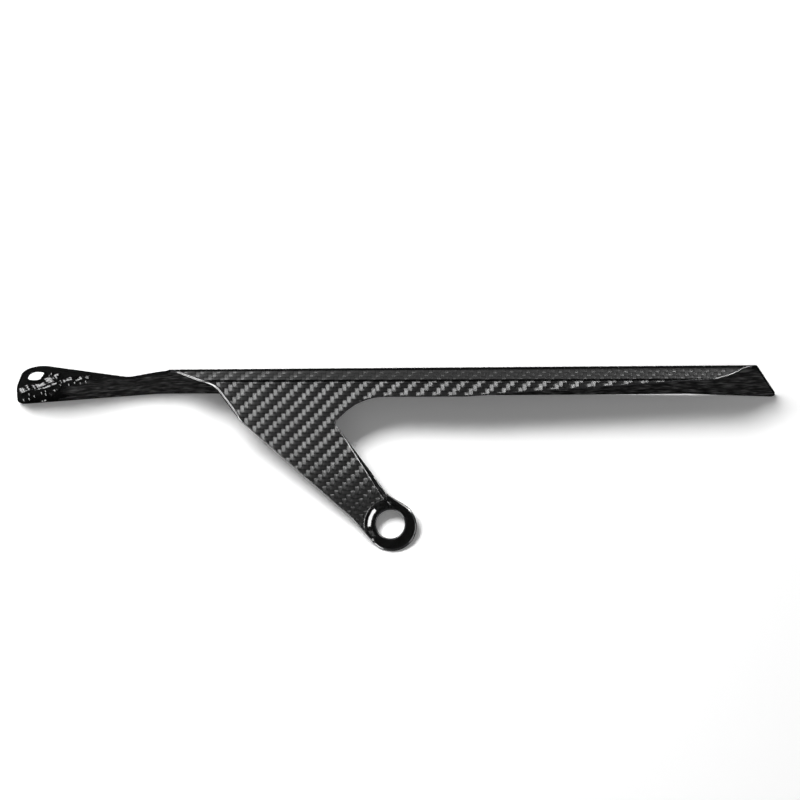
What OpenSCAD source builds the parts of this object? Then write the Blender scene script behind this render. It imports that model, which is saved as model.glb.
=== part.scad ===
// Motorcycle chain guide: one moulded laminate with a hook-shaped section, an arm with a bolt tab
// and a leg with a recessed mounting eye.
// Lies at rest as it would on a bench: X runs along the guard toward its tail, Z is up, and the
// origin is the middle of the eye's bore.

/* [Overall] */
// From the eye's bore to the tip of the tail, along the guard
tail_reach = 197.5; // [150:0.5:260]
// From the eye's bore to the end of the bolt tab, along the guard
tab_reach = 189; // [160:1:240]
// From the eye's bore up to the crease that edges the near flange
leg_drop = 72; // [60:0.5:100]
// Laminate thickness
wall = 1.6; // [1:0.1:3]

/* [Hook section] */
// Width of the sloping bevel between the crease and the fold, measured to the sharp corners
bevel_w = 8.9; // [7:0.1:14]
// Slope of the bevel to the near flange
bevel_tilt = 34.4; // [15:0.1:50]
// Slope of the back plate to the near flange
plate_tilt = 61; // [50:0.5:85]
// Angle by which the fold runs away from the crease toward the tail
flare = 0.3; // [0:0.05:1]
// Outer radius of the crease
crease_r = 2.4; // [2:0.1:5]
// Outer radius of the fold
fold_r = 3; // [2.4:0.1:6]
// Depth of the near flange below the crease
flange_depth = 8.2; // [4:0.1:16]
// How far the near flange runs at full depth to the right of the eye
flange_run = 38; // [10:1:80]
// From the end of the near flange to the tip of the tail
flange_end_gap = 35.5; // [25:0.5:60]

/* [Back plate] */
// Width of the plate at the arm, from the fold's sharp corner
plate_w_arm = 24.1; // [20:0.1:34]
// Width of the plate over the middle of the guard
plate_w_mid = 28.4; // [22:0.1:38]
// Width of the plate at the tail
plate_w_tail = 32.2; // [24:0.1:42]
// How far the tail is cut back at the fold
tail_cut = 12.7; // [4:0.1:25]
// Radius of the lower corner of the tail
tail_corner_r = 2; // [0.5:0.1:6]

/* [Arm and bolt tab] */
// From the eye's bore to the left end of the near shell, along the guard
shell_start = 111.8; // [90:0.1:140]
// Angle of the gentle bend that carries the arm to the near side
arm_bend = 4.5; // [1:0.5:10]
// Radius of that bend
arm_bend_r = 150; // [60:1:300]
// From the start of the near shell to the narrowest place of the arm
waist_run = 19.7; // [14:0.1:30]
// Height of the arm at its narrowest place
waist_w = 17; // [12:0.1:22]
// Radius of the hollow at the narrowest place
waist_r = 9; // [4:0.5:20]
// How far the tab's upper corner stands above the fold's sharp corner
tab_rise = 14.8; // [8:0.1:22]
// How far the upper corner is set in from the end of the tab
tab_set_in = 8.2; // [2:0.1:14]
// Radius of the tab's upper corner
tab_top_r = 8.8; // [4:0.1:12]
// Radius of the tab's lower corner
tab_low_r = 5; // [2:0.1:9]
// Diameter of the tab's bolt bore
tab_bore_d = 11.5; // [8:0.1:16]
// From the end of the tab to the bore's centre
tab_bore_in = 12.8; // [10:0.1:20]
// Height of the bore's centre above the fold's sharp corner
tab_bore_up = 1.5; // [-4:0.1:6]

/* [Leg and mounting eye] */
// Diameter of the eye's bore
eye_bore_d = 14.4; // [8:0.1:18]
// Outer radius of the eye's ring
eye_ring_r = 12.5; // [11:0.1:18]
// How far the ring is set off from the bore toward its free side
eye_ring_off = 1.2; // [0:0.1:2]
// Depth by which the eye's seat is sunk into the leg
seat_depth = 2.6; // [1:0.1:5]
// How far the top of the seat's wall lies outside the ring
seat_margin = 1; // [0.3:0.1:4]
// Horizontal run of the wall around the seat
seat_run = 2; // [1:0.1:4]
// Width of the sunk ledge along the leg where it meets the eye
ledge_w = 3.2; // [1.5:0.1:6]
// From the eye's bore to the crotch, along the guard
crotch_out = 28; // [18:0.5:40]
// Height of the crotch below the crease
crotch_drop = 21; // [16:0.5:26]
// Radius of the crotch
crotch_r = 2; // [1:0.1:6]
// Radius of the sweep from the crotch into the near flange
sweep_r = 30; // [10:0.5:34]
// Width over which the near shell's left edge falls away into the leg
shoulder_w = 36.6; // [32:0.1:46]

/* [Hidden] */
$fn = 96;
steps = 8;
far = 600;
ledge_reach = 12;
crease_steps = 4;
fold_steps = 8;
arm_steps = 4;

// Small helpers: unit vectors, turns about the three axes and a polygon with rounded corners.
function unit(v) = v / norm(v);
function turn_x(a, p) = [p[0], p[1] * cos(a) - p[2] * sin(a), p[1] * sin(a) + p[2] * cos(a)];
function turn_y(a, p) = [p[0] * cos(a) + p[2] * sin(a), p[1], p[2] * cos(a) - p[0] * sin(a)];
function turn_z(a, p) = [p[0] * cos(a) - p[1] * sin(a), p[0] * sin(a) + p[1] * cos(a), p[2]];
function xy(p) = [p[0], p[1]];
function arc(m, r, from, sweep) =
    [for (i = [0:steps]) m + r * [cos(from + sweep * i / steps), sin(from + sweep * i / steps)]];
function corner(a, b, c, r) =
    r <= 0 ? [b] :
    let (u = unit(a - b), w = unit(c - b), half = acos(u * w) / 2)
    let (p = b + u * r / tan(half), q = b + w * r / tan(half))
    let (m = b + unit(u + w) * r / sin(half), side = cross(p - m, q - m) > 0 ? 1 : -1)
    arc(m, r, atan2(p[1] - m[1], p[0] - m[0]), side * (180 - 2 * half));
function rounded(v) =
    let (n = len(v))
    [for (i = [0:n - 1]) each corner(xy(v[(i + n - 1) % n]), xy(v[i]), xy(v[(i + 1) % n]), v[i][2])];

// Lengths that the bends take up on each side of their sharp corners.
plate_turn = 180 - plate_tilt - bevel_tilt;
crease_take = crease_r * tan(bevel_tilt / 2);
fold_take = fold_r * tan(plate_turn / 2);
bevel_flat = bevel_w - crease_take - fold_take;

// Points of the bevel, plate and arm, written in the flat frame of the near flange.
function from_bevel(p) =
    turn_x(-bevel_tilt, p + [0, 0, crease_r]) + [0, leg_drop - crease_take, -crease_r];
function from_fold(p) = from_bevel(turn_z(flare, p) + [0, bevel_flat, 0]);
function from_plate(p) = from_fold(turn_x(-plate_turn, p + [0, 0, fold_r]) - [0, 0, fold_r]);
function from_arm(p) =
    from_plate(turn_y(-arm_bend, p + [0, 0, arm_bend_r]) + [-shell_start, 0, -arm_bend_r]);

// Frames that follow the section: each turns the one before it round a bend of radius r.
module turn_down(r, angle) {
    translate([0, 0, -r])
        rotate([-angle, 0, 0])
            translate([0, 0, r])
                children();
}

module in_crease() {
    translate([0, leg_drop - crease_take, 0])
        children();
}

module in_bevel() {
    in_crease()
        turn_down(crease_r, bevel_tilt)
            children();
}

module in_fold() {
    in_bevel()
        translate([0, bevel_flat, 0])
            rotate([0, 0, flare])
                children();
}

module in_plate() {
    in_fold()
        turn_down(fold_r, plate_turn)
            children();
}

module turn_near(angle) {
    in_plate()
        translate([-shell_start, 0, -arm_bend_r])
            rotate([0, -angle, 0])
                translate([0, 0, arm_bend_r])
                    children();
}

module in_arm() {
    turn_near(arm_bend)
        children();
}

// Everything under the level z of a frame. Bends are made of the faces that touch their arc.
module below(z) {
    translate([-far, -far, z - 2 * far])
        cube(2 * far);
}

// The near shell laps over the top of the plate down to this level.
lap_z = from_plate([0, 0, 0])[2] - 2;

// Outline of the near shell (leg, near flange, bevel), seen square to the leg. Rows are x, y, radius.
flange_y = leg_drop - flange_depth;
shell_end = tail_reach - flange_end_gap;
ring_mid = eye_ring_off * [0.6, -0.8];
ring_left = ring_mid + eye_ring_r * [-0.76, -0.65];
ring_right = ring_mid + eye_ring_r * [0.51, 0.86];
leg_foot = ring_right + [-8.3, 5];
crotch = [-crotch_out, leg_drop - crotch_drop];
shell_outline = [
    [-shell_start - 7.2, leg_drop + 9.2, 0],
    [-shell_start + 23.8, leg_drop - 2.8, 15],
    [-shell_start + shoulder_w, leg_drop - 19.8, 14],
    [ring_left[0] - 10.1, ring_left[1] + 11.9, 30],
    [ring_left[0], ring_left[1], 0],
    [ring_mid[0], ring_mid[1], 0],
    [ring_right[0], ring_right[1], 0],
    [leg_foot[0], leg_foot[1], 12],
    [crotch[0], crotch[1], crotch_r],
    [crotch[0] + 13.7, flange_y, sweep_r],
    [flange_run, flange_y, 60],
    [shell_end, leg_drop, 20],
    [shell_end + 10.5, leg_drop + 3, 25],
    [shell_end + 24.5, leg_drop + 10, 0],
    [shell_end + 24.5, leg_drop + 20, 0],
    [-shell_start - 7.2, leg_drop + 20, 0]
];

// Outline of the back plate, arm and tab, seen square to the plate. Y runs down from the fold.
plate_outline = [
    [tail_reach - tail_cut, 0, 0],
    [tail_reach, plate_w_tail - fold_take, tail_corner_r],
    [tail_reach - 47, plate_w_mid - fold_take, 60],
    [tail_reach - 137, plate_w_mid - fold_take, 100],
    [-shell_start + 12, plate_w_arm - fold_take, 100],
    [-tab_reach, plate_w_arm - fold_take, tab_low_r],
    [-tab_reach + tab_set_in, -tab_rise - fold_take, tab_top_r],
    [-shell_start - waist_run, plate_w_arm - waist_w - fold_take, waist_r],
    [-shell_start, 0, 0]
];

// Places on the arm are measured along the guard, so they are set back by the length of the bend.
function along_arm(x) = (x + shell_start + arm_bend_r * sin(arm_bend)) / cos(arm_bend);

// The part rests on three places: the tail's lower corner, the tab's lower corner and the eye.
tail_arc = corner(xy(plate_outline[0]), xy(plate_outline[1]), xy(plate_outline[2]), tail_corner_r);
tab_arc = corner(xy(plate_outline[4]), xy(plate_outline[5]), xy(plate_outline[6]), tab_low_r);
tail_foot = from_plate([tail_arc[steps][0], tail_arc[steps][1], 0]);
tab_foot = from_arm([along_arm(tab_arc[0][0]), tab_arc[0][1], 0]);
eye_foot = [ring_mid[0], ring_mid[1] - eye_ring_r, -seat_depth - wall];
up = unit(cross(tail_foot - eye_foot, tab_foot - eye_foot));
ahead = unit([1, 0, 0] - up * up[0]);
aside = cross(up, ahead);

module at_rest() {
    multmatrix([
        [ahead[0], ahead[1], ahead[2], 0],
        [aside[0], aside[1], aside[2], 0],
        [up[0], up[1], up[2], 0],
        [0, 0, 0, 1]
    ])
        translate([0, 0, seat_depth + wall / 2])
            children();
}

// The sunk seat around the bore and the ledge that runs from it up the leg's right edge.
// The wall slopes; grow moves it outward so that its underside keeps the laminate's thickness.
seat_top_r = eye_ring_r + seat_margin;
wall_slope = seat_run / seat_depth;
under_grow = wall * (1 / cos(atan(wall_slope)) - wall_slope);
edge_dir = unit(leg_foot - crotch);
edge_angle = atan2(edge_dir[1], edge_dir[0]);
ledge_len = norm(leg_foot - crotch) + eye_ring_r + 2;
eye_reach = eye_ring_r + eye_ring_off + 1;

module seat_space(grow) {
    translate([0, 0, -seat_depth])
        cylinder(
            h = seat_depth + 1,
            r1 = seat_top_r - seat_run + grow,
            r2 = seat_top_r + wall_slope + grow
        );
    rotate([0, 0, edge_angle])
        translate([0, -eye_reach, -seat_depth])
            cube([eye_reach, 2 * eye_reach, seat_depth + 1]);
    ledge_space(grow);
}

module ledge_space(grow) {
    // The wall starts at the leg's edge by the crotch and drifts inward by the ledge's width.
    drift = asin(ledge_w / norm(leg_foot - crotch));
    translate([crotch[0], crotch[1], 0])
        rotate([90, 0, 90 + edge_angle - drift])
            linear_extrude(height = ledge_len)
                polygon([
                    [-grow - wall_slope, 1],
                    [seat_run - grow, -seat_depth],
                    [ledge_reach, -seat_depth],
                    [ledge_reach, 1]
                ]);
}

module shell_prism() {
    translate([0, 0, -50])
        linear_extrude(height = 60)
            polygon(rounded(shell_outline));
    translate([ring_mid[0], ring_mid[1], -50])
        cylinder(h = 60, r = eye_ring_r);
}

// The body bounded by the near flange, the bevel and the plate, all set in by the same depth.
module hook_core(depth) {
    intersection() {
        below(-depth);
        intersection_for (i = [1:crease_steps - 1])
            in_crease()
                turn_down(crease_r, bevel_tilt * i / crease_steps)
                    below(-depth);
        in_bevel()
            below(-depth);
        intersection_for (i = [1:fold_steps - 1])
            in_fold()
                turn_down(fold_r, plate_turn * i / fold_steps)
                    below(-depth);
        in_plate()
            below(-depth);
    }
}

// The same for the plate and the arm, which runs on past the shell.
module plate_core(depth) {
    intersection() {
        in_plate()
            below(-depth);
        intersection_for (i = [1:arm_steps - 1])
            turn_near(arm_bend * i / arm_steps)
                below(-depth);
        in_arm()
            below(-depth);
    }
}

module near_shell() {
    intersection() {
        difference() {
            hook_core(0);
            hook_core(wall);
        }
        shell_prism();
        translate([-far, -far, lap_z])
            cube([2 * far, 2 * far, far]);
    }
}

module seat_underside() {
    intersection() {
        translate([0, 0, -wall])
            seat_space(under_grow);
        shell_prism();
    }
}

module back_plate() {
    intersection() {
        difference() {
            plate_core(0);
            plate_core(wall);
        }
        in_plate()
            translate([0, 0, -50])
                linear_extrude(height = 60)
                    polygon(rounded(plate_outline));
    }
}

// Both bores run square through the laminate that carries them.
module eye_bore() {
    translate([0, 0, -seat_depth - wall - 1])
        cylinder(h = seat_depth + wall + 2, r = eye_bore_d / 2);
}

module tab_bore() {
    in_arm()
        translate([along_arm(tab_bore_in - tab_reach), -tab_bore_up - fold_take, -wall - 1])
            cylinder(h = wall + 2, r = tab_bore_d / 2);
}

module chain_guide() {
    color([0.1, 0.1, 0.11])
        at_rest()
            difference() {
                union() {
                    near_shell();
                    seat_underside();
                    back_plate();
                }
                seat_space(0);
                eye_bore();
                tab_bore();
            }
}

chain_guide();
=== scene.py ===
"""Looks for the chain guide: a carbon laminate folded from one flat pattern.

The laminate is cut as a flat pattern: x runs along the guard, and s runs up the leg, over the
bends and down the back plate. The pattern is filled with points and folded over the same bends as
the solid. It also carries the weave, so the twill runs on over every bend as real cloth does.

The near frame lies on the leg's outer face: x toward the tail, y up the leg, z toward the camera,
with its origin in the eye's bore. The row frame is the one that the solid rests in. Lengths are in
mm until the mesh is written.
"""
import math

import bpy
import numpy as np
from mathutils import Matrix, Vector, noise
from mathutils.geometry import delaunay_2d_cdt


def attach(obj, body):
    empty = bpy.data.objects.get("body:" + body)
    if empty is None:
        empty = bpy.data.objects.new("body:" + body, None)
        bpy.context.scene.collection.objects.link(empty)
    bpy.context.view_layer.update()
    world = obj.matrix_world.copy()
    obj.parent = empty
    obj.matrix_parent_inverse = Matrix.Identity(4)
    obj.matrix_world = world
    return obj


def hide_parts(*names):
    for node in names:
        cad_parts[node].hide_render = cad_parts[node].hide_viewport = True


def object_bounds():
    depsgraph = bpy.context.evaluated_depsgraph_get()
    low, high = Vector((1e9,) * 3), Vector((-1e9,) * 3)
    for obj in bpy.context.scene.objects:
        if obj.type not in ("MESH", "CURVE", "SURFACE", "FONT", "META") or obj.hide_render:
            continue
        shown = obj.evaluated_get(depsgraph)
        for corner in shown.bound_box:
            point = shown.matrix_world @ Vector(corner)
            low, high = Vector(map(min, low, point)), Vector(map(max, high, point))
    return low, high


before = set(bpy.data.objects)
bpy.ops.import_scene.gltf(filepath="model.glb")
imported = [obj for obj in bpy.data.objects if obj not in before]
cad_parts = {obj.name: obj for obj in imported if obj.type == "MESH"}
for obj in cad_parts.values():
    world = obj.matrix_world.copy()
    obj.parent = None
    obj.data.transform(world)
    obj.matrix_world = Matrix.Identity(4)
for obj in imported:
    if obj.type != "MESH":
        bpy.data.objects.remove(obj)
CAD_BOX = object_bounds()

MM = 0.001
NODE = "chain_guide"

# Sizes of the solid, as it is built.
WALL = 1.6
TAIL_REACH, TAB_REACH, LEG_DROP = 197.5, 189.0, 72.0
BEVEL_W, BEVEL_TILT, PLATE_TILT = 8.9, math.radians(34.4), math.radians(61)
CREASE_R, FOLD_R, FLARE = 2.4, 3.0, math.radians(0.3)
FLANGE_DEPTH, FLANGE_RUN, FLANGE_END_GAP = 8.2, 38.0, 35.5
PLATE_W_ARM, PLATE_W_MID, PLATE_W_TAIL = 24.1, 28.4, 32.2
SHELL_START, SHOULDER_W = 111.8, 36.6
ARM_BEND, ARM_BEND_R = math.radians(4.5), 150.0
WAIST_RUN, WAIST_W = 19.7, 17.0
TAB_RISE, TAB_SET_IN, TAB_BORE_IN, TAB_BORE_UP = 14.8, 8.2, 12.8, 1.5
EYE_BORE_R, EYE_RING_R, EYE_RING_OFF = 7.2, 12.5, 1.2
SEAT_DEPTH, SEAT_TOP_R, LEDGE_W = 2.6, 13.5, 3.2
CROTCH_OUT, CROTCH_DROP = 28.0, 21.0

# The seat has a crisp rim, a steep wall and a wide sloping foot; the ledge is a plain small step.
# Each wall is given by its slope at some distances past its top.
SEAT_KNOTS, SEAT_SLOPES = (0, 1.1, 1.5, 2.1, 3.8, 4.5), (0, 1.6, 1.6, 0.5, 0.5, 0)
LEDGE_KNOTS, LEDGE_SLOPES = (0, 1.0, 1.5, 2.2), (0, 1.6, 1.6, 0)
SEAT_BLEND = 0.25  # how softly the seat and the ledge run into each other
NO_LEDGE = -9.0  # a distance that is well outside the ledge's wall

# The rolled edge. A wide edge is a chamfer with a steeper foot below it.
EDGE_ROUND, EDGE_WIDE, EDGE_ON_RING, BORE_ROUND = 0.42, 1.35, 0.45, 0.45
EDGE_MOST_DEPTH, EDGE_STEPS, EDGE_LAP = 1.1, 8, 0.3
LOW_ROUND, LOW_STEPS = 0.2, 3
CHAMFER, CHAMFER_FOOT = math.radians(25), math.radians(56)
CHAMFER_PART, FOOT_PART = 0.6, 0.4  # shares of the steps down a wide edge
CHAMFER_RUN, FOOT_RUN = 0.7, 0.3  # shares of its width
CHAMFER_LEAD = 0.15  # share of the steps over which the normal leans into the chamfer

# The tab's bore as its resin leaves it open: direction in degrees and reach in mm.
TAB_MOUTH = ((47, 2.2), (84, 4.0), (118, 5.1), (135, 5.7), (150, 5.7), (161, 5.3), (186, 4.7),
             (215, 4.8), (242, 5.2), (265, 5.7), (308, 5.7), (325, 4.4), (345, 2.8))

# Resin squeezed out on the tab's inner side: height, half-width and line of each ridge.
RESIN_RIDGES = (
    (1.80, 2.6, ((-187.6, 92.0), (-184.8, 88.3), (-183.0, 87.0), (-179.5, 85.4),
                 (-176.0, 84.0), (-172.0, 81.4), (-168.0, 79.6), (-166.4, 77.6))),
    (0.75, 1.1, ((-186.4, 94.6), (-184.6, 91.2), (-183.0, 89.4))),
    (1.00, 1.5, ((-178.5, 88.2), (-174.2, 87.6), (-170.5, 85.6), (-167.2, 83.2))),
    (0.90, 1.3, ((-171.4, 96.0), (-168.8, 91.4), (-165.6, 86.2))),
    (1.00, 1.4, ((-164.8, 83.2), (-161.5, 81.2), (-157.8, 80.4))),
    (1.00, 1.4, ((-157.8, 82.6), (-154.5, 80.9), (-150.6, 80.2))),
    (0.70, 1.0, ((-179.6, 103.4), (-175.0, 100.6))),
    (0.65, 0.9, ((-171.6, 86.0), (-170.6, 90.0))),
    (0.85, 1.2, ((-172.4, 74.0), (-170.6, 75.8), (-169.0, 74.4))),
)
RESIN_DROPS = ((-185.6, 98.6), (-182.7, 98.2), (-182.2, 93.6), (-179.8, 96.0), (-176.0, 93.0),
               (-174.0, 94.6), (-173.8, 91.6), (-161.5, 86.8), (-158.4, 85.4), (-155.6, 86.6),
               (-152.8, 85.2))
DROP_HEIGHT, DROP_R = 1.0, 1.25
RESIN_COMB, RESIN_FINE, RESIN_WAVE = 0.05, 0.05, 0.12  # heights of its wrinkles

# The cloth: widths and lengths in tows, but for the tow itself.
TOW = 2.04  # width of one tow, mm
TOW_START, TOW_SHIFT = 400, (-0.37, -0.49)
WAVER = 0.7  # how far the tows wander from a straight line
WARP_DIP, WEFT_DIP, TOW_CROWN = 0.20, 0.16, 0.10
# The last of these is the share of the cloth's tone kept where the seat and the ledge are sunk:
# partly resin over the cloth, partly painted shade.
LEAN, BEVEL_LEAN, SUNK_RESIN_AND_SHADE = 0.25, -0.26, 0.22
MM_PER_UV = 100.0

# The mesh's materials, in their order.
TWILL, INNER, EDGE, RESIN, CUT = range(5)

# Directions of the resting pose: the near frame to the row frame.
AHEAD = np.array([0.999697, -0.00732415, -0.0235209])
ASIDE = np.array([0.0, 0.954781, -0.297309])
UP = np.array([0.0246348, 0.297219, 0.954492])
REST = np.array([AHEAD, ASIDE, UP])
TO_CAMERA = REST[:, 2]
BORE_MID = np.array([0.0, 0.0, SEAT_DEPTH + WALL / 2])

# The camera stands square to the leg.
PX_PER_MM, FRAME_PX, SENSOR = 2.0, 800, 36
CAM_MID = np.array([5.0, 62.235, 1500.0])
CAM_ROLL = 0.00323

# What the floor is to the camera, to shiny surfaces and to the rest.
FLOOR_SEEN, FLOOR_SHINE, FLOOR_ROOM, FLOOR_GLOW, FLOOR_HALF = 1.0, 0.07, 0.55, 0.09, 4.0
WORLD_SEEN, WORLD_ROOM = 0.985, 0.015

# Lamps that give the even light and the shadows, and none of the shine.
SHADE_LAMPS = (
    ("shade_key", (-0.55, 0.52, 1.16), (0, 0.05, 0), (0.6, 0.45), 21),
    ("shade_fill", (0, 0.1, 1.3), (0, 0.05, 0), (2.4, 2.4), 4.5),
    ("shade_front", (0.5, -1.1, 0.6), (0.1, 0.05, 0), (1.0, 0.5), 2),
)
# Lamps that give the shine alone: name, place, aim, size and power.
SHINE_LAMPS = (
    ("key_left", (-0.50, 0.37, 1.14), (0, 0.05, 0), (0.35, 0.35), 7.6),
    ("key_right", (0.55, 0.37, 1.12), (0, 0.05, 0), (0.35, 0.35), 7.4),
    ("side_right", (0.74, -0.54, 0.74), (0, 0, 0), (0.75, 0.12), 4.0),
    ("side_left", (-0.74, -0.79, 0.55), (-0.09, 0.05, 0), (0.7, 0.1), 2.6),
    ("ledge_strip", (0.66, 0.30, 0.94), (0, 0.03, 0), (0.2, 0.4), 6.0),
    ("front_low", (-0.72, -0.93, 0.27), (-0.17, 0.05, 0.02), (0.8, 0.32), 14),
    ("card_back", (0, 1.17, 0.93), (0, 0.05, 0), (1.2, 0.4), 0.5),
)


def unit(v):
    return v / np.linalg.norm(v)


def lengths(rows):
    return np.linalg.norm(rows, axis=1)[:, None]


def smooth(t):
    t = np.clip(t, 0, 1)
    return t * t * (3 - 2 * t)


def turn_x(p, angle):
    c, s = math.cos(angle), math.sin(angle)
    return np.stack([p[:, 0], p[:, 1] * c - p[:, 2] * s, p[:, 1] * s + p[:, 2] * c], 1)


def to_rest(p):
    """Points of the near frame, in mm, to the row frame, in metres."""
    return (np.asarray(p, float) + BORE_MID) @ REST.T * MM


# Lengths of the flats and bends along s.
PLATE_TURN = math.pi - PLATE_TILT - BEVEL_TILT
CREASE_TAKE = CREASE_R * math.tan(BEVEL_TILT / 2)
FOLD_TAKE = FOLD_R * math.tan(PLATE_TURN / 2)
BEVEL_FLAT = BEVEL_W - CREASE_TAKE - FOLD_TAKE
CREASE_S = LEG_DROP - CREASE_TAKE
BEVEL_S = CREASE_S + CREASE_R * BEVEL_TILT
FOLD_S = BEVEL_S + BEVEL_FLAT
FOLD_ARC = FOLD_R * PLATE_TURN
ARM_ARC = ARM_BEND_R * ARM_BEND
FLARE_COS, FLARE_SIN = math.cos(FLARE), math.sin(FLARE)
SEAT_S = LEG_DROP - 18  # the leg can be sunk below this

# Corners of the leg.
RING_MID = EYE_RING_OFF * np.array([0.6, -0.8])
LEFT_WAY, RIGHT_WAY = (-0.76, -0.65), (0.51, 0.86)
RING_LEFT = RING_MID + EYE_RING_R * np.array(LEFT_WAY)
RING_RIGHT = RING_MID + EYE_RING_R * np.array(RIGHT_WAY)
LEG_FOOT = RING_RIGHT + (-8.3, 5)
CROTCH = np.array([-CROTCH_OUT, LEG_DROP - CROTCH_DROP])
FLANGE_Y = LEG_DROP - FLANGE_DEPTH
SHELL_END = TAIL_REACH - FLANGE_END_GAP

# The leg's right edge, and the line of the ledge, which drifts away from it.
LEG_LENGTH = np.linalg.norm(LEG_FOOT - CROTCH)
LEG_WAY = unit(LEG_FOOT - CROTCH)
LEDGE_DRIFT = math.asin(LEDGE_W / LEG_LENGTH)


def wall_drop(d, knots, slopes):
    """Drop below the leg's face at a distance d past the top of a wall: its slope runs through
    the given values, and the whole is scaled to the seat's depth."""
    knots, slopes = np.array(knots), np.array(slopes)
    at = np.concatenate([[0], np.cumsum(np.diff(knots) * (slopes[1:] + slopes[:-1]) / 2)])
    k = np.clip(np.searchsorted(knots, d, side="right") - 1, 0, len(knots) - 2)
    u = np.clip(d - knots[k], 0, knots[k + 1] - knots[k])
    rise = (slopes[k + 1] - slopes[k]) / (knots[k + 1] - knots[k])
    drop = at[k] + slopes[k] * u + rise * u * u / 2
    return np.where(d <= 0, 0, drop) * (SEAT_DEPTH / at[-1])


def seat_drop(x, y):
    """How far the seat and the ledge are sunk at each point of the leg."""
    c, s = math.cos(-LEDGE_DRIFT), math.sin(-LEDGE_DRIFT)
    line = np.array([LEG_WAY[0] * c - LEG_WAY[1] * s, LEG_WAY[0] * s + LEG_WAY[1] * c])
    ahead = (x - CROTCH[0]) * line[0] + (y - CROTCH[1]) * line[1]
    beside = (y - CROTCH[1]) * line[0] - (x - CROTCH[0]) * line[1]
    beside = np.where(ahead < 0, NO_LEDGE, beside)
    seat = wall_drop(SEAT_TOP_R - np.hypot(x, y), SEAT_KNOTS, SEAT_SLOPES)
    ledge = wall_drop(beside, LEDGE_KNOTS, LEDGE_SLOPES)
    both = np.log(np.exp(seat / SEAT_BLEND) + np.exp(ledge / SEAT_BLEND) - 1) * SEAT_BLEND
    drop = np.minimum(both, SEAT_DEPTH)
    past_bore = smooth((x * LEG_WAY[0] + y * LEG_WAY[1] + 1.5) / 5)
    return drop + (SEAT_DEPTH - drop) * past_bore


def bend(x, start, angle, radius, depth):
    """Points and normals of a bend about x that starts flat, at y start and z 0."""
    r = radius - depth
    s, c = np.sin(angle), np.cos(angle)
    return np.stack([x, start + r * s, -radius + r * c], 1), np.stack([x * 0, s, c], 1)


def from_bevel(p, m):
    """Points and normals of the bevel's frame to the near frame."""
    q = turn_x(p + (0, 0, CREASE_R), -BEVEL_TILT) + (0, CREASE_S, -CREASE_R)
    return q, turn_x(m, -BEVEL_TILT)


def from_fold(p, m):
    """Points and normals of the fold's frame to the near frame."""
    def spread(v):
        return np.stack([v[:, 0] * FLARE_COS - v[:, 1] * FLARE_SIN,
                         v[:, 0] * FLARE_SIN + v[:, 1] * FLARE_COS, v[:, 2]], 1)
    return from_bevel(spread(p) + (0, BEVEL_FLAT, 0), spread(m))


def from_plate(x, y, depth):
    """Points of the back plate and of the arm, which bends away from it, to the near frame."""
    left = np.clip(-SHELL_START - x, 0, None)
    a = np.minimum(left, ARM_ARC) / ARM_BEND_R
    rest = np.clip(left - ARM_ARC, 0, None)
    r = ARM_BEND_R - depth
    px = np.where(left > 0, -SHELL_START - r * np.sin(a) - rest * np.cos(a), x)
    pz = np.where(left > 0, -ARM_BEND_R + r * np.cos(a) - rest * np.sin(a), -depth)
    m = np.stack([-np.sin(a), x * 0, np.cos(a)], 1)
    p = turn_x(np.stack([px, y, pz + FOLD_R], 1), -PLATE_TURN) - (0, 0, FOLD_R)
    return from_fold(p, turn_x(m, -PLATE_TURN))


def fold_up(x, s, depth):
    """Maps pattern points at a depth under the outer face to the near frame.
    Returns the points and the outer face's normals."""
    x, s, depth = (np.asarray(a, float) for a in (x, s, depth))
    face = np.tile([0.0, 0, 1], (len(x), 1))
    t = s - BEVEL_S
    fx = x * FLARE_COS + (t - BEVEL_FLAT) * FLARE_SIN
    fy = -x * FLARE_SIN + (t - BEVEL_FLAT) * FLARE_COS
    arm = fx < -SHELL_START

    leg = np.stack([x, s, -depth], 1)
    sunk = s < SEAT_S
    leg[sunk, 2] -= seat_drop(x[sunk], s[sunk])
    parts = (
        (s <= CREASE_S, (leg, face)),
        ((s > CREASE_S) & (t <= 0), bend(x, CREASE_S, (s - CREASE_S) / CREASE_R, CREASE_R, depth)),
        ((t > 0) & (fy <= 0), from_bevel(np.stack([x, t, -depth], 1), face)),
        ((t > 0) & (fy > 0) & (fy <= FOLD_ARC) & ~arm,
         from_fold(*bend(fx, 0, fy / FOLD_R, FOLD_R, depth))),
        (((t > 0) & (fy > FOLD_ARC)) | arm, from_plate(fx, fy - FOLD_ARC, depth)),
    )
    pts, nor = np.zeros((len(x), 3)), np.zeros((len(x), 3))
    for here, (p, m) in parts:
        pts[here], nor[here] = p[here], m[here]
    return pts, nor


def corner(a, b, c, r, step=0.6):
    """Points that round the corner b of the path a-b-c."""
    a, b, c = (np.asarray(v[:2], float) for v in (a, b, c))
    if r <= 0:
        return [b]
    u, w = unit(a - b), unit(c - b)
    half = math.acos(np.clip(u @ w, -1, 1)) / 2
    take = r / math.tan(half)
    p, q = b + u * take, b + w * take
    m = b + unit(u + w) * r / math.sin(half)
    a0 = math.atan2(*(p - m)[::-1])
    sweep = math.pi - 2 * half
    if (p - m)[0] * (q - m)[1] - (p - m)[1] * (q - m)[0] < 0:
        sweep = -sweep
    n = max(3, int(abs(sweep) * r / step))
    turns = [a0 + sweep * i / n for i in range(n + 1)]
    return [m + r * np.array([math.cos(t), math.sin(t)]) for t in turns]


def rounded_path(rows):
    """Open path with rounded corners; rows are x, y, radius."""
    out = []
    for i, row in enumerate(rows):
        if i in (0, len(rows) - 1):
            out.append(np.asarray(row[:2], float))
        else:
            out += corner(rows[i - 1], row, rows[i + 1], row[2])
    return out


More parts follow.
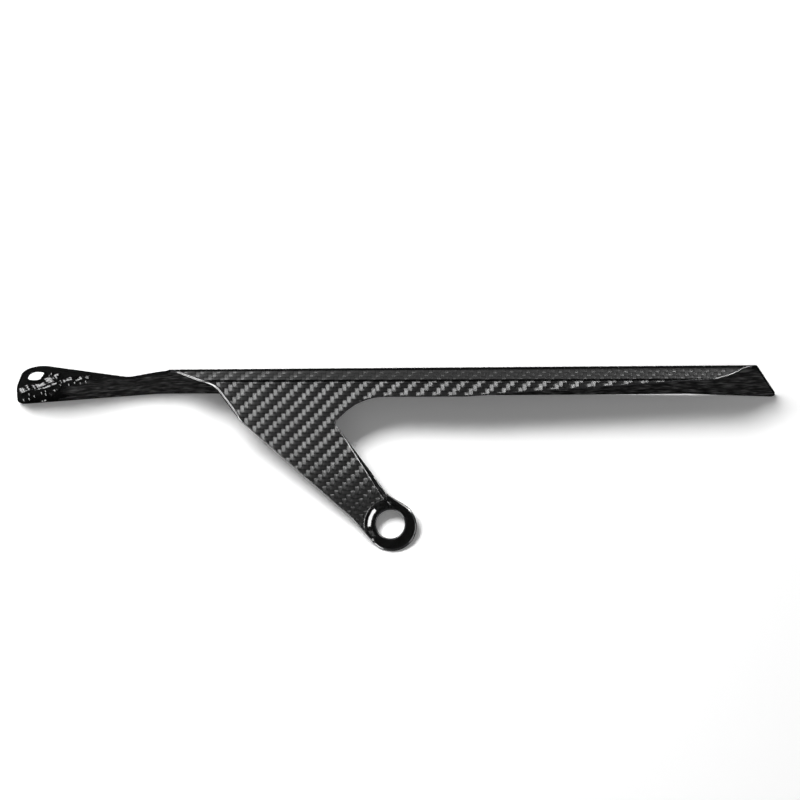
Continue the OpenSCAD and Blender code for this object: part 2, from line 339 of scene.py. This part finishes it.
def flared(points):
    """Points along the flared fold, to the pattern."""
    x, y = points[:, 0], points[:, 1]
    return np.stack([x * FLARE_COS - y * FLARE_SIN,
                     x * FLARE_SIN + y * FLARE_COS + BEVEL_FLAT + BEVEL_S], 1)


def near_to_pattern(p):
    """A point of the near shell seen square to the leg, to the flat pattern."""
    x, y = p
    if y <= CREASE_S:
        return np.array([x, y])
    arc_y = CREASE_S + CREASE_R * math.sin(BEVEL_TILT)
    if y <= arc_y:
        return np.array([x, CREASE_S + CREASE_R * math.asin((y - CREASE_S) / CREASE_R)])
    return np.array([x, BEVEL_S + (y - arc_y) / math.cos(BEVEL_TILT)])


def plate_to_pattern(p):
    """A point of the plate, with y down from the fold, to the flat pattern."""
    x, y = p
    if x < -SHELL_START:
        level = ARM_BEND_R * math.sin(ARM_BEND)
        run = -SHELL_START - x
        run = run * ARM_ARC / level if run < level else ARM_ARC + (run - level) / math.cos(ARM_BEND)
        x = -SHELL_START - run
    return flared(np.array([[x, y + FOLD_ARC]]))[0]


TAB_MID = plate_to_pattern((-TAB_REACH + TAB_BORE_IN, -TAB_BORE_UP - FOLD_TAKE))


def near_edge():
    """The near shell's free edge from the fold at the left, round the eye, to the tail's fold."""
    down = rounded_path([
        (-107.2, 76.7, 0),
        (-SHELL_START + 23.8, LEG_DROP - 2.8, 15),
        (-SHELL_START + SHOULDER_W, LEG_DROP - 19.8, 14),
        (RING_LEFT[0] - 10.1, RING_LEFT[1] + 11.9, 30),
        (RING_LEFT[0], RING_LEFT[1], 0),
    ])
    a0, a1 = math.atan2(*LEFT_WAY[::-1]), math.atan2(*RIGHT_WAY[::-1])
    turns = np.linspace(a0, a1, 60)[1:-1]
    ring = [RING_MID + EYE_RING_R * np.array([math.cos(a), math.sin(a)]) for a in turns]
    up = rounded_path([
        (RING_RIGHT[0], RING_RIGHT[1], 0),
        (LEG_FOOT[0], LEG_FOOT[1], 12),
        (CROTCH[0], CROTCH[1], 2),
        (CROTCH[0] + 13.7, FLANGE_Y, 30),
        (FLANGE_RUN, FLANGE_Y, 60),
        (SHELL_END, LEG_DROP, 20),
        (SHELL_END + 10.5, LEG_DROP + 3, 25),
        (177.6, 77.8, 0),
    ])
    return [near_to_pattern(p) for p in down + ring + up]


def plate_edge():
    """The plate's free edge from the fold at the tail, round the tab, back to the fold."""
    rows = [
        (182.6, -FOLD_ARC * 0.62, 0),
        (184.0, -FOLD_ARC * 0.45, 1.0),
        (TAIL_REACH, PLATE_W_TAIL - FOLD_TAKE, 2),
        (TAIL_REACH - 47, PLATE_W_MID - FOLD_TAKE, 60),
        (TAIL_REACH - 137, PLATE_W_MID - FOLD_TAKE, 100),
        (-SHELL_START + 12, PLATE_W_ARM - FOLD_TAKE, 100),
        (-TAB_REACH, PLATE_W_ARM - FOLD_TAKE, 4),
        (-TAB_REACH + 1.0, 6.0, 40),
        (-TAB_REACH + TAB_SET_IN, -TAB_RISE - FOLD_TAKE, 11),
        (-SHELL_START - WAIST_RUN, PLATE_W_ARM - WAIST_W - FOLD_TAKE, 9),
        (-SHELL_START, 0.0, 1.5),
        (-110.8, -FOLD_ARC * 0.45, 0),
    ]
    return [plate_to_pattern(p) for p in rounded_path(rows)]


def resample(points, step, least=0.12):
    """The same closed line with corners kept close and no piece longer than step."""
    out = []
    for a, b in zip(points, points[1:] + points[:1]):
        parts = max(1, int(math.ceil(np.linalg.norm(b - a) / step)))
        out += [a + (b - a) * k / parts for k in range(parts)]
    keep = [out[0]]
    for p in out[1:]:
        if np.linalg.norm(p - keep[-1]) > least:
            keep.append(p)
    return np.array(keep)


def eye_hole(n):
    a = np.linspace(0, 2 * math.pi, n, endpoint=False)
    return np.stack([EYE_BORE_R * np.cos(a), EYE_BORE_R * np.sin(a)], 1)


def tab_hole(n):
    """The tab's bore, with resin squeezed in from the side of the arm."""
    turn = np.linspace(0, 360, n, endpoint=False)
    reach = np.interp(turn, *np.array(TAB_MOUTH).T, period=360)
    for _ in range(2):
        reach = (np.roll(reach, 1) + 2 * reach + np.roll(reach, -1)) / 4
    a = np.radians(turn)
    return TAB_MID + np.stack([reach * np.cos(a), reach * np.sin(a)], 1)


def outward(loop):
    """Unit normals that point to the right of the way round the loop."""
    d = np.roll(loop, -1, 0) - np.roll(loop, 1, 0)
    d /= lengths(d)
    return np.stack([d[:, 1], -d[:, 0]], 1)


def turned(loop, left):
    """The loop, going round anticlockwise if left is true."""
    x, y = loop[:, 0], loop[:, 1]
    area = np.sum(x * np.roll(y, -1) - np.roll(x, -1) * y)
    return loop if (area > 0) == left else loop[::-1]


def edge_round(loop):
    """Width of the rolled edge at each point: wide where the shell's left edge meets the leg."""
    x, s = loop[:, 0], loop[:, 1]
    on_edge = (x > -112) & (x < -70) & (s > 46) & (s < FOLD_S + 1)
    wide = smooth((-72.5 - x) / 8) * smooth((x + 113) / 12) * on_edge
    wide *= 1 - 0.7 * smooth((s - CREASE_S + 3) / 4)
    on_ring = np.hypot(x - RING_MID[0], s - RING_MID[1]) < EYE_RING_R + 0.3
    width = EDGE_ROUND + EDGE_WIDE * wide + EDGE_ON_RING * on_ring
    for _ in range(6):
        width = (np.roll(width, 1) + width + np.roll(width, -1)) / 3
    return width


def edge_steps(width):
    """Cross-section of the rolled edge: inset, depth and outward tilt of the normal of each step."""
    zero = 0 * width
    wide = np.clip((width - 0.6) / 0.6, 0, 1)
    turn, cut = math.tan(CHAMFER), math.tan(CHAMFER_FOOT)
    out = [(width + EDGE_LAP, zero, zero), (width, zero, zero)]
    for k in range(1, EDGE_STEPS + 1):
        u = k / EDGE_STEPS
        a = math.pi / 2 * u
        near, foot = min(u / CHAMFER_PART, 1), max(u - CHAMFER_PART, 0) / FOOT_PART
        if foot == 0:
            lean = CHAMFER * min(u / CHAMFER_LEAD, 1)
        else:
            lean = CHAMFER_FOOT + (math.pi / 2 - CHAMFER_FOOT) * foot ** 4
        inset = width * (1 - math.sin(a)) * (1 - wide)
        inset = inset + wide * width * (1 - CHAMFER_RUN * near - FOOT_RUN * foot)
        depth = np.minimum(width, EDGE_MOST_DEPTH) * (1 - math.cos(a)) * (1 - wide)
        depth = depth + wide * width * (CHAMFER_RUN * turn * near + FOOT_RUN * cut * foot)
        out.append((inset, depth, a * (1 - wide) + lean * wide))
    for k in range(LOW_STEPS + 1):
        a = math.pi / 2 * k / LOW_STEPS
        depth = WALL - LOW_ROUND + LOW_ROUND * math.sin(a)
        out.append((zero + LOW_ROUND * (1 - math.cos(a)), zero + depth, zero + math.pi / 2 + a))
    out.append((zero + LOW_ROUND + EDGE_LAP, zero + WALL, zero + math.pi))
    return out


def grid(x0, x1, y0, y1, dx, dy):
    """Rows of points, each second row set over by half a step."""
    xs, ys = np.arange(x0, x1, dx), np.arange(y0, y1, dy)
    gx, gy = np.meshgrid(xs, ys)
    gx = gx + (np.arange(len(ys)) % 2)[:, None] * dx / 2
    return np.stack([gx.ravel(), gy.ravel()], 1)


def inside(points, loop):
    """Even-odd test of many points against one closed loop."""
    x, y = points[:, 0], points[:, 1]
    hit = np.zeros(len(points), bool)
    for (ax, ay), (bx, by) in zip(loop, np.roll(loop, -1, 0)):
        if ay != by:
            hit ^= ((ay > y) != (by > y)) & (x < (bx - ax) * (y - ay) / (by - ay) + ax)
    return hit


def near_loop(points, loop, gap):
    """Which points lie closer to the loop than gap."""
    cells = {}
    for q in loop:
        cells.setdefault((int(q[0] // gap), int(q[1] // gap)), []).append(q)

    def is_close(p):
        cx, cy = int(p[0] // gap), int(p[1] // gap)
        around = [(cx + i, cy + j) for i in (-1, 0, 1) for j in (-1, 0, 1)]
        return any((p[0] - q[0]) ** 2 + (p[1] - q[1]) ** 2 < gap * gap
                   for cell in around for q in cells.get(cell, ()))

    return np.array([is_close(p) for p in points], bool)


def fill_points(tab_step):
    """Points of the pattern: coarse on flats, close on bends, at the seat and on the tab."""
    side = np.array([LEG_WAY[1], -LEG_WAY[0]])
    ledge = np.array([CROTCH + LEG_WAY * t + side * w
                      for t in np.arange(0, LEG_LENGTH, 0.7) for w in np.arange(-0.2, 4.2, 0.2)])
    leg = grid(-110, 190, -14, CREASE_S - 0.4, 2.0, 2.0)
    off_seat = (np.abs(leg[:, 0]) > 16) | (np.abs(leg[:, 1]) > 17)
    seat = grid(-15, 15, -15, 16, 0.45, 0.45)
    return np.concatenate([
        leg[off_seat & ~near_loop(leg, ledge, 1.4)],
        grid(-108, 180, CREASE_S - 0.2, BEVEL_S + 0.4, 1.6, 0.3),
        grid(-108, 180, BEVEL_S + 0.9, FOLD_S - 1.2, 2.0, 1.4),
        flared(grid(-118, 186, -0.3, FOLD_ARC + 0.4, 1.6, 0.36)),
        flared(grid(-145, 198, FOLD_ARC + 1.0, FOLD_ARC + 32, 2.2, 2.2)),
        flared(grid(-192, -145.5, -22, FOLD_ARC + 32, tab_step, tab_step)),
        seat[~near_loop(seat, ledge, 0.4)],
        ledge,
    ])


def fill_inside(loops, tab_step):
    """The fill points that lie in the outer loop, off the holes and clear of the edges."""
    fill = fill_points(tab_step)
    ok = inside(fill, loops[0]) & ~near_loop(fill, loops[0], 0.5)
    for hole in loops[1:]:
        ok &= ~inside(fill, hole) & ~near_loop(fill, hole, 0.35)
    return fill[ok]


def on_plate(p):
    """Whether a pattern point lies past the fold, on the back plate or the arm."""
    return p[0] < -SHELL_START + 1 or p[1] > FOLD_S + 0.5 * FOLD_ARC


def resin_at(p):
    """Whether the resin reaches this point of the inner side, with a ragged end along the arm."""
    edge = 7 * noise.noise(Vector((p[0] * 0.1, p[1] * 0.4, 1.3)))
    return p[0] + edge < -148 - 18 * smooth((p[1] - 82) / 8)


def to_line(x, s, line):
    """Distance of many points to a broken line."""
    best = np.full(len(x), 99.0)
    for (ax, ay), (bx, by) in zip(line, line[1:]):
        dx, dy = bx - ax, by - ay
        u = np.clip(((x - ax) * dx + (s - ay) * dy) / (dx * dx + dy * dy), 0, 1)
        best = np.minimum(best, np.hypot(x - ax - u * dx, s - ay - u * dy))
    return best


def crumple(x, s):
    """Height of the resin on the tab's inner side, mm: ridges, drops and fine wrinkles."""
    h = np.zeros(len(x))
    on_tab = smooth((-138 - x) / 12)
    near = np.nonzero(on_tab > 0)[0]
    if not len(near):
        return h
    x, s = x[near], s[near]
    wave = np.array([[noise.noise(Vector((a * 0.35, b * 0.35, z))) for z in (1.7, 8.3)]
                     for a, b in zip(x, s)])
    fine = np.array([noise.noise(Vector((a * 0.9, b * 1.3, 4.4))) for a, b in zip(x, s)])
    wx, ws = x + 0.9 * wave[:, 0], s + 0.9 * wave[:, 1]
    lumps = np.zeros(len(x))
    for height, width, line in RESIN_RIDGES:
        off = to_line(wx, ws, line)
        comb = RESIN_COMB * np.sin(off * 5.5 + 2 * wave[:, 1]) * (off < width)
        lumps = np.maximum(lumps, height * np.clip(1.15 - off / width, 0, 1) + comb)
    for dx, ds in RESIN_DROPS:
        drop = DROP_HEIGHT * np.clip(1.1 - np.hypot(x - dx, s - ds) / DROP_R, 0, 1)
        lumps = np.maximum(lumps, drop)
    lumps += RESIN_FINE * fine * smooth((-146 - x) / 14) + RESIN_WAVE * wave[:, 0]
    h[near] = lumps * on_tab[near]
    return h


def outer_normals(x, s, depth):
    """Normals of the outer side: the bends' own, and by differences in the sunk seat."""
    n = fold_up(x, s, depth)[1]
    near = (s < LEG_DROP - 19) & (x > -32)
    if not near.any():
        return n
    e = 0.02
    xs, ss = x[near], s[near]
    dx = (seat_drop(xs + e, ss) - seat_drop(xs - e, ss)) / (2 * e)
    dy = (seat_drop(xs, ss + e) - seat_drop(xs, ss - e)) / (2 * e)
    m = np.stack([dx, dy, np.ones(len(xs))], 1)
    n[near] = m / lengths(m)
    return n


def inner_normals(x, s, depth):
    """Normals of the inner side, turned by the lumps of resin where they lie."""
    n = -fold_up(x, s, depth)[1]
    lumpy = x < -135
    if not lumpy.any():
        return n
    e = 0.12
    xs, ss = x[lumpy], s[lumpy]
    steps = ((e, 0), (-e, 0), (0, e), (0, -e))
    p = [fold_up(xs + i, ss + j, WALL + crumple(xs + i, ss + j))[0] for i, j in steps]
    m = np.cross(p[0] - p[1], p[2] - p[3])
    m /= lengths(m)
    m *= np.sign(np.sum(m * n[lumpy], axis=1))[:, None]
    n[lumpy] = m
    return n


def edge_normals(points, depth, tilt, out):
    """Normals of one step of the rolled edge: the face's own, tilted outward."""
    x, s = points[:, 0], points[:, 1]
    if tilt.max() < math.pi / 2 + 0.01:
        n = outer_normals(x, s, depth)
    else:
        n = fold_up(x, s, depth)[1]
    e = 0.05
    o = fold_up(x + out[:, 0] * e, s + out[:, 1] * e, depth * 0)[0] - fold_up(x, s, depth * 0)[0]
    o /= lengths(o)
    return n * np.cos(tilt)[:, None] + o * np.sin(tilt)[:, None]


class Laminate:
    """The folded laminate: outer skin, inner skin and the rolled edges between them."""

    def __init__(self):
        self.verts, self.normals, self.pattern = [], [], []
        self.faces, self.slots = [], []
        eye_n, tab_n = 84, 72
        loops = [
            turned(resample(near_edge() + plate_edge(), 0.9), True),
            turned(eye_hole(eye_n), False),
            turned(tab_hole(tab_n), False),
        ]
        widths = [edge_round(loops[0]), np.full(eye_n, BORE_ROUND), np.full(tab_n, BORE_ROUND)]
        rims = [self.roll_edge(loop, width) for loop, width in zip(loops, widths)]
        self.top_loops = [rim[0][0] for rim in rims]
        self.skin([rim[0] for rim in rims], False)
        self.skin([rim[-1] for rim in rims], True)

    def add(self, points, depth, normals):
        """Adds pattern points at a depth and returns their numbers."""
        start = len(self.verts)
        self.verts.extend(fold_up(points[:, 0], points[:, 1], depth)[0])
        self.normals.extend(normals)
        self.pattern.extend(points)
        return np.arange(start, len(self.verts))

    def roll_edge(self, loop, width):
        """Rolls the edge along a loop and returns each step's line and its points' numbers."""
        out = outward(loop)
        rows = []
        for inset, depth, tilt in edge_steps(width):
            line = loop - out * inset[:, None]
            rows.append((line, self.add(line, depth, edge_normals(line, depth, tilt, out))))
        for (_, a), (_, b) in zip(rows, rows[1:]):
            for i in range(len(a)):
                j = (i + 1) % len(a)
                self.faces.append((a[i], b[i], b[j], a[j]))
                self.slots.append(CUT if on_plate(self.pattern[a[i]]) else EDGE)
        return rows

    def skin(self, rims, inner):
        """Fills one side between its rims with triangles."""
        loops = [line for line, _ in rims]
        known = np.concatenate(loops)
        known_ids = np.concatenate([ids for _, ids in rims])
        pts = np.concatenate([known, fill_inside(self.top_loops, 0.4 if inner else 1.6)])
        edges, at = [], 0
        for line in loops:
            edges += [(at + i, at + (i + 1) % len(line)) for i in range(len(line))]
            at += len(line)
        got = delaunay_2d_cdt([Vector(p) for p in pts], edges, [], 0, 1e-6, True)
        new = np.array([tuple(v) for v in got[0]])
        ids = np.full(len(new), -1)
        for k, sources in enumerate(got[3]):
            on_rim = [q for q in sources if q < len(known)]
            if on_rim:
                ids[k] = known_ids[on_rim[0]]
        own = np.nonzero(ids < 0)[0]
        x, s = new[own, 0], new[own, 1]
        if inner:
            depth = WALL + crumple(x, s)
            ids[own] = self.add(new[own], depth, inner_normals(x, s, depth))
        else:
            depth = np.zeros(len(own))
            ids[own] = self.add(new[own], depth, outer_normals(x, s, depth))
        middles = np.array([new[list(f)].mean(0) for f in got[2]])
        keep = inside(middles, loops[0])
        for hole in loops[1:]:
            keep &= ~inside(middles, hole)
        for f, kept in zip(got[2], keep):
            if kept:
                f = [ids[i] for i in f]
                self.faces.append(tuple(f[::-1] if inner else f))
                resin = inner and resin_at(self.pattern[f[0]])
                self.slots.append(RESIN if resin else INNER if inner else TWILL)


def make_guide(materials):
    """The mesh of the guide, with the pattern as its texture map and its own normals."""
    shell = Laminate()
    pattern = np.array(shell.pattern)
    mesh = bpy.data.meshes.new("guide_laminate")
    mesh.from_pydata([tuple(v) for v in to_rest(shell.verts)], [],
                     [tuple(int(i) for i in f) for f in shell.faces])
    for m in materials:
        mesh.materials.append(m)
    mesh.polygons.foreach_set("material_index", shell.slots)
    mesh.polygons.foreach_set("use_smooth", [True] * len(shell.faces))
    layer = mesh.uv_layers.new(name="pattern")
    loop_vert = np.zeros(len(mesh.loops), int)
    mesh.loops.foreach_get("vertex_index", loop_vert)
    layer.data.foreach_set("uv", (pattern[loop_vert] / MM_PER_UV).ravel())
    # How far each point is sunk; the cloth's shading reads it to darken the seat and the ledge,
    # partly as painted shade.
    depth = seat_drop(pattern[:, 0], pattern[:, 1]) / SEAT_DEPTH
    sunk = np.where(pattern[:, 1] < SEAT_S, depth, 0)
    mesh.attributes.new("sunk", "FLOAT", "POINT").data.foreach_set("value", sunk)
    mesh.update()
    normals = np.array(shell.normals) @ REST.T
    mesh.normals_split_custom_set_from_vertices([tuple(v) for v in normals])
    obj = bpy.data.objects.new("guide_laminate", mesh)
    bpy.context.scene.collection.objects.link(obj)
    return obj


class Nodes:
    """Short helpers that add shader nodes to one material or world."""

    def __init__(self, holder):
        holder.use_nodes = True
        self.holder, self.tree = holder, holder.node_tree
        self.bsdf = self.tree.nodes.get("Principled BSDF")

    def new(self, kind, **values):
        node = self.tree.nodes.new(kind)
        for key, value in values.items():
            setattr(node, key, value)
        return node

    def put(self, socket, value):
        """Sets a number or a colour on a socket, or links an output to it."""
        if isinstance(value, bpy.types.NodeSocket):
            self.tree.links.new(value, socket)
        else:
            socket.default_value = value

    def surface(self, **values):
        """Sets the shader's sockets; a name is written with _ for each space."""
        for key, value in values.items():
            self.put(self.bsdf.inputs[key.replace("_", " ")], value)

    def math(self, op, *values):
        node = self.new("ShaderNodeMath", operation=op)
        for socket, value in zip(node.inputs, values):
            self.put(socket, value)
        return node.outputs[0]

    def times(self, a, b):
        return self.math("MULTIPLY", a, b)

    def plus(self, a, b):
        return self.math("ADD", a, b)

    def scaled(self, v, factor, offset):
        return self.math("MULTIPLY_ADD", v, factor, offset)

    def mix(self, t, a, b):
        """a + (b - a) * t for numbers."""
        node = self.new("ShaderNodeMix", data_type="FLOAT")
        for i, value in zip((0, 2, 3), (t, a, b)):
            self.put(node.inputs[i], value)
        return node.outputs[0]

    def ramp(self, v, v0, v1, out0, out1):
        """Smooth step of v from out0 at v0 to out1 at v1."""
        node = self.new("ShaderNodeMapRange", interpolation_type="SMOOTHSTEP")
        keys = ("Value", "From Min", "From Max", "To Min", "To Max")
        for key, value in zip(keys, (v, v0, v1, out0, out1)):
            self.put(node.inputs[key], value)
        return node.outputs[0]

    def vector(self, x, y, z):
        node = self.new("ShaderNodeCombineXYZ")
        for socket, value in zip(node.inputs, (x, y, z)):
            self.put(socket, value)
        return node.outputs[0]

    def colour(self, red, green, blue):
        node = self.new("ShaderNodeCombineColor")
        for socket, value in zip(node.inputs, (red, green, blue)):
            self.put(socket, value)
        return node.outputs[0]

    def grey(self, v):
        return self.colour(v, v, v)

    def noise(self, at, detail):
        node = self.new("ShaderNodeTexNoise")
        for key, value in (("Vector", at), ("Scale", 1.0), ("Detail", detail)):
            self.put(node.inputs[key], value)
        return node.outputs[0]

    def stretched_noise(self, at, scale, detail):
        """Noise of a vector stretched by a scale on each axis."""
        stretch = self.new("ShaderNodeMapping")
        self.put(stretch.inputs["Scale"], scale)
        self.put(stretch.inputs["Vector"], at)
        return self.noise(stretch.outputs[0], detail)

    def pattern(self):
        """The pattern's texture coordinates, and x and s in mm."""
        uv = self.new("ShaderNodeUVMap", uv_map="pattern").outputs[0]
        parts = self.new("ShaderNodeSeparateXYZ")
        self.put(parts.inputs[0], uv)
        return uv, parts.outputs[0], parts.outputs[1]


def material(name):
    return Nodes(bpy.data.materials.new(name))


def tow_slopes(n, x_mm, s_mm, warp, a, c):
    """Slopes of a tow along x and s: it dips at the ends of each float and is rounded across.
    The warp leans as a whole, more toward the crease, and the other way on the bevel's ends."""
    dip = n.times(n.times(n.times(a, a), a), n.mix(warp, WEFT_DIP, WARP_DIP))
    crown = n.times(c, TOW_CROWN)
    ends = n.plus(n.ramp(x_mm, -75, -10, 0.9, 0.45), n.ramp(x_mm, 60, 160, 0.0, 0.2))
    ends = n.times(n.ramp(s_mm, CREASE_S, BEVEL_S, 0.0, 1.0), ends)
    lean = n.times(n.ramp(s_mm, -14, 42, 0.0, LEAN), n.ramp(s_mm, CREASE_S, BEVEL_S, 1.0, 0.0))
    lean = n.plus(lean, n.times(ends, BEVEL_LEAN))
    return n.mix(warp, dip, crown), n.plus(n.mix(warp, crown, dip), n.times(warp, lean))


def tow_tone(n, u, v, warp, a, c):
    """Tone of a tow: fine streaks along it, its own lustre, and dark gaps round each float."""
    streak_at = n.vector(n.times(n.mix(warp, v, u), 9), n.times(n.mix(warp, u, v), 0.7), warp)
    tone = n.scaled(n.noise(streak_at, 1.0), 0.036, 0.056)
    number = n.mix(warp, n.math("FLOOR", v), n.math("FLOOR", u))
    lustre = n.new("ShaderNodeTexWhiteNoise", noise_dimensions="2D")
    n.put(lustre.inputs["Vector"], n.vector(number, warp, 0.0))
    tone = n.times(tone, n.scaled(lustre.outputs[0], 0.18, 0.91))
    for place, power, depth in ((c, 5, 0.8), (a, 6, 0.6)):
        gap = n.times(n.math("POWER", n.math("ABSOLUTE", place), power), depth)
        tone = n.times(tone, n.math("SUBTRACT", 1.0, gap))
    return tone


def cloth_tone_painted_shade(n, s_mm, tone):
    """Tone of the cloth with painted shade: a dark line along the crease and darkening over the fold
    are painted shade; on the eye's ring and the ledge it is darker too, partly resin over the cloth
    and partly painted shade; an even grey on the back plate."""
    # Painted shade: a dark line along the middle of the crease.
    off = n.math("ABSOLUTE", n.math("SUBTRACT", s_mm, (CREASE_S + BEVEL_S) / 2 + 0.1))
    tone = n.times(tone, n.ramp(off, 0.45, 0.95, 0.08, 1.0))
    # Darker where the seat and the ledge are sunk: partly resin over the cloth, partly painted shade
    # on their walls and the ring.
    sunk = n.new("ShaderNodeAttribute", attribute_name="sunk").outputs["Fac"]
    tone = n.times(tone, n.ramp(sunk, 0.02, 0.25, 1.0, SUNK_RESIN_AND_SHADE))
    # Painted shade from the fold on: the tone falls to 0.15 of itself where the surface turns away.
    tone = n.times(tone, n.ramp(s_mm, FOLD_S - 0.4, FOLD_S + 0.6, 1.0, 0.15))
    return n.plus(tone, n.ramp(s_mm, FOLD_S + FOLD_ARC - 1, FOLD_S + FOLD_ARC, 0.0, 0.03))


def twill_material():
    """2x2 twill under a clear coat: warp floats run across the guard, weft floats along it."""
    n = material("laminate_twill")
    uv, uv_x, uv_s = n.pattern()
    x_mm, s_mm = n.times(uv_x, MM_PER_UV), n.times(uv_s, MM_PER_UV)
    u, v = (n.scaled(n.stretched_noise(uv, scale, 1.0), WAVER,
                     n.scaled(axis, MM_PER_UV / TOW, TOW_START + shift - WAVER / 2))
            for axis, shift, scale in zip((uv_x, uv_s), TOW_SHIFT, ((3.5, 3.5, 1), (4.5, 2.5, 9))))
    steps = n.math("SUBTRACT", n.math("FLOOR", v), n.math("FLOOR", u))
    step = n.math("FLOORED_MODULO", steps, 4)
    warp = n.math("LESS_THAN", step, 1.5)
    # The place along and across a float, from -1 to 1.
    fu, fv = n.math("FRACT", u), n.math("FRACT", v)
    along = n.mix(warp, n.times(n.plus(n.math("SUBTRACT", 3, step), fu), 0.5),
                  n.times(n.plus(step, fv), 0.5))
    a = n.scaled(along, 2, -1)
    c = n.scaled(n.mix(warp, fv, fu), 2, -1)
    slope_x, slope_s = tow_slopes(n, x_mm, s_mm, warp, a, c)
    bumps = n.new("ShaderNodeNormalMap", uv_map="pattern")
    n.put(bumps.inputs["Color"],
          n.colour(n.scaled(slope_x, 0.5, 0.5), n.scaled(slope_s, 0.5, 0.5), 1.0))
    tangent = n.new("ShaderNodeTangent", direction_type="UV_MAP", uv_map="pattern")
    n.surface(Base_Color=n.grey(cloth_tone_painted_shade(n, s_mm, tow_tone(n, u, v, warp, a, c))),
              Metallic=1.0, Roughness=n.mix(warp, 0.46, 0.42),
              Anisotropic=0.85, Anisotropic_Rotation=n.mix(warp, 0.25, 0.0),
              Tangent=tangent.outputs[0], Normal=bumps.outputs[0],
              Coat_Weight=1.0, Coat_Roughness=0.03, Coat_IOR=1.7)
    return n.holder


def inner_material():
    """Bare moulded side: dull dark resin with fine lengthwise streaks of fibre."""
    n = material("laminate_inner")
    uv = n.pattern()[0]
    streak = n.stretched_noise(uv, (16, 90, 1), 3.0)
    patch = n.stretched_noise(uv, (12, 34, 5), 2.0)
    tone = n.times(n.ramp(streak, 0.38, 0.68, 0.0, 0.16), n.ramp(patch, 0.38, 0.62, 0.2, 1.0))
    bump = n.new("ShaderNodeBump")
    for key, value in (("Strength", 0.5), ("Distance", 0.0004), ("Height", streak)):
        n.put(bump.inputs[key], value)
    n.surface(Base_Color=n.grey(n.plus(tone, 0.012)), Roughness=0.45, Specular_IOR_Level=0.06,
              Normal=bump.outputs[0])
    return n.holder


def plain_material(name, colour, **values):
    n = material(name)
    n.surface(Base_Color=(*colour, 1), **values)
    return n.holder


def guide_materials():
    """The looks of the guide: cloth, inner skin, rolled edge, resin on the tab and cut edge."""
    return [
        twill_material(),
        inner_material(),
        plain_material("laminate_edge", (0.012, 0.012, 0.013), Roughness=0.3,
                       Coat_Weight=1.0, Coat_Roughness=0.04, Coat_IOR=1.7),
        plain_material("laminate_resin", (0.0015, 0.0015, 0.0015), Roughness=0.2,
                       Specular_IOR_Level=0.5),
        plain_material("laminate_cut", (0.003, 0.003, 0.003), Roughness=0.5,
                       Specular_IOR_Level=0.05),
    ]


def floor_material():
    """Pale floor: the camera sees it white with its shadow, and shiny surfaces see it dark."""
    n = material("floor_pale")
    path = n.new("ShaderNodeLightPath")
    seen, shine = path.outputs["Is Camera Ray"], path.outputs["Is Glossy Ray"]
    tone = n.mix(seen, n.mix(shine, FLOOR_ROOM, FLOOR_SHINE), FLOOR_SEEN)
    n.surface(Base_Color=n.grey(tone), Roughness=0.9, Specular_IOR_Level=0.0,
              Emission_Color=(1, 1, 1, 1), Emission_Strength=n.times(seen, FLOOR_GLOW))
    return n.holder


def make_floor():
    low, s = CAD_BOX[0][2], FLOOR_HALF
    mesh = bpy.data.meshes.new("floor")
    mesh.from_pydata([(-s, -s, low), (s, -s, low), (s, s, low), (-s, s, low)], [], [(0, 1, 2, 3)])
    mesh.materials.append(floor_material())
    floor = bpy.data.objects.new("floor", mesh)
    bpy.context.scene.collection.objects.link(floor)


def softbox(name, at, aim, size, power, shine):
    """A flat lamp for shine alone or for even light alone, one side square to the camera's axis."""
    lamp = bpy.data.lights.new(name, "AREA")
    lamp.shape = "RECTANGLE"
    lamp.size, lamp.size_y = size
    lamp.energy = power
    obj = bpy.data.objects.new(name, lamp)
    obj.location = at
    z = unit(np.subtract(at, aim).astype(float))
    x = unit(np.cross(TO_CAMERA, z))
    obj.rotation_euler = Matrix(np.stack([x, np.cross(z, x), z], 1).tolist()).to_euler()
    obj.visible_diffuse, obj.visible_glossy = not shine, shine
    bpy.context.scene.collection.objects.link(obj)


def make_light():
    """A world that is white to the camera and nearly dark to the rest, and the lamps."""
    world = bpy.data.worlds.new("studio")
    bpy.context.scene.world = world
    n = Nodes(world)
    back = n.tree.nodes["Background"]
    seen = n.new("ShaderNodeLightPath").outputs["Is Camera Ray"]
    n.put(back.inputs["Color"], (1, 1, 1, 1))
    n.put(back.inputs["Strength"], n.scaled(seen, WORLD_SEEN, WORLD_ROOM))
    for row in SHADE_LAMPS:
        softbox(*row, shine=False)
    for row in SHINE_LAMPS:
        softbox(*row, shine=True)


def make_camera():
    """Square to the leg, 1.5 m away, as the photograph was taken."""
    cam = bpy.data.cameras.new("camera")
    cam.sensor_width = SENSOR
    cam.lens = SENSOR * CAM_MID[2] * PX_PER_MM / FRAME_PX
    cam.clip_start, cam.clip_end = 0.05, 20
    obj = bpy.data.objects.new("camera", cam)
    right = REST @ unit(np.array([1, -CAM_ROLL, 0]))
    up = REST @ unit(np.array([CAM_ROLL, 1, 0]))
    axes = np.stack([right, up, TO_CAMERA, to_rest(CAM_MID)], 1)
    obj.matrix_world = Matrix(axes.tolist() + [[0, 0, 0, 1]])
    bpy.context.scene.collection.objects.link(obj)
    bpy.context.scene.camera = obj


def main():
    guide = make_guide(guide_materials())
    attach(guide, "root")
    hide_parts(NODE)
    make_floor()
    make_light()
    make_camera()
    bpy.context.scene.view_settings.view_transform = "Standard"


main()
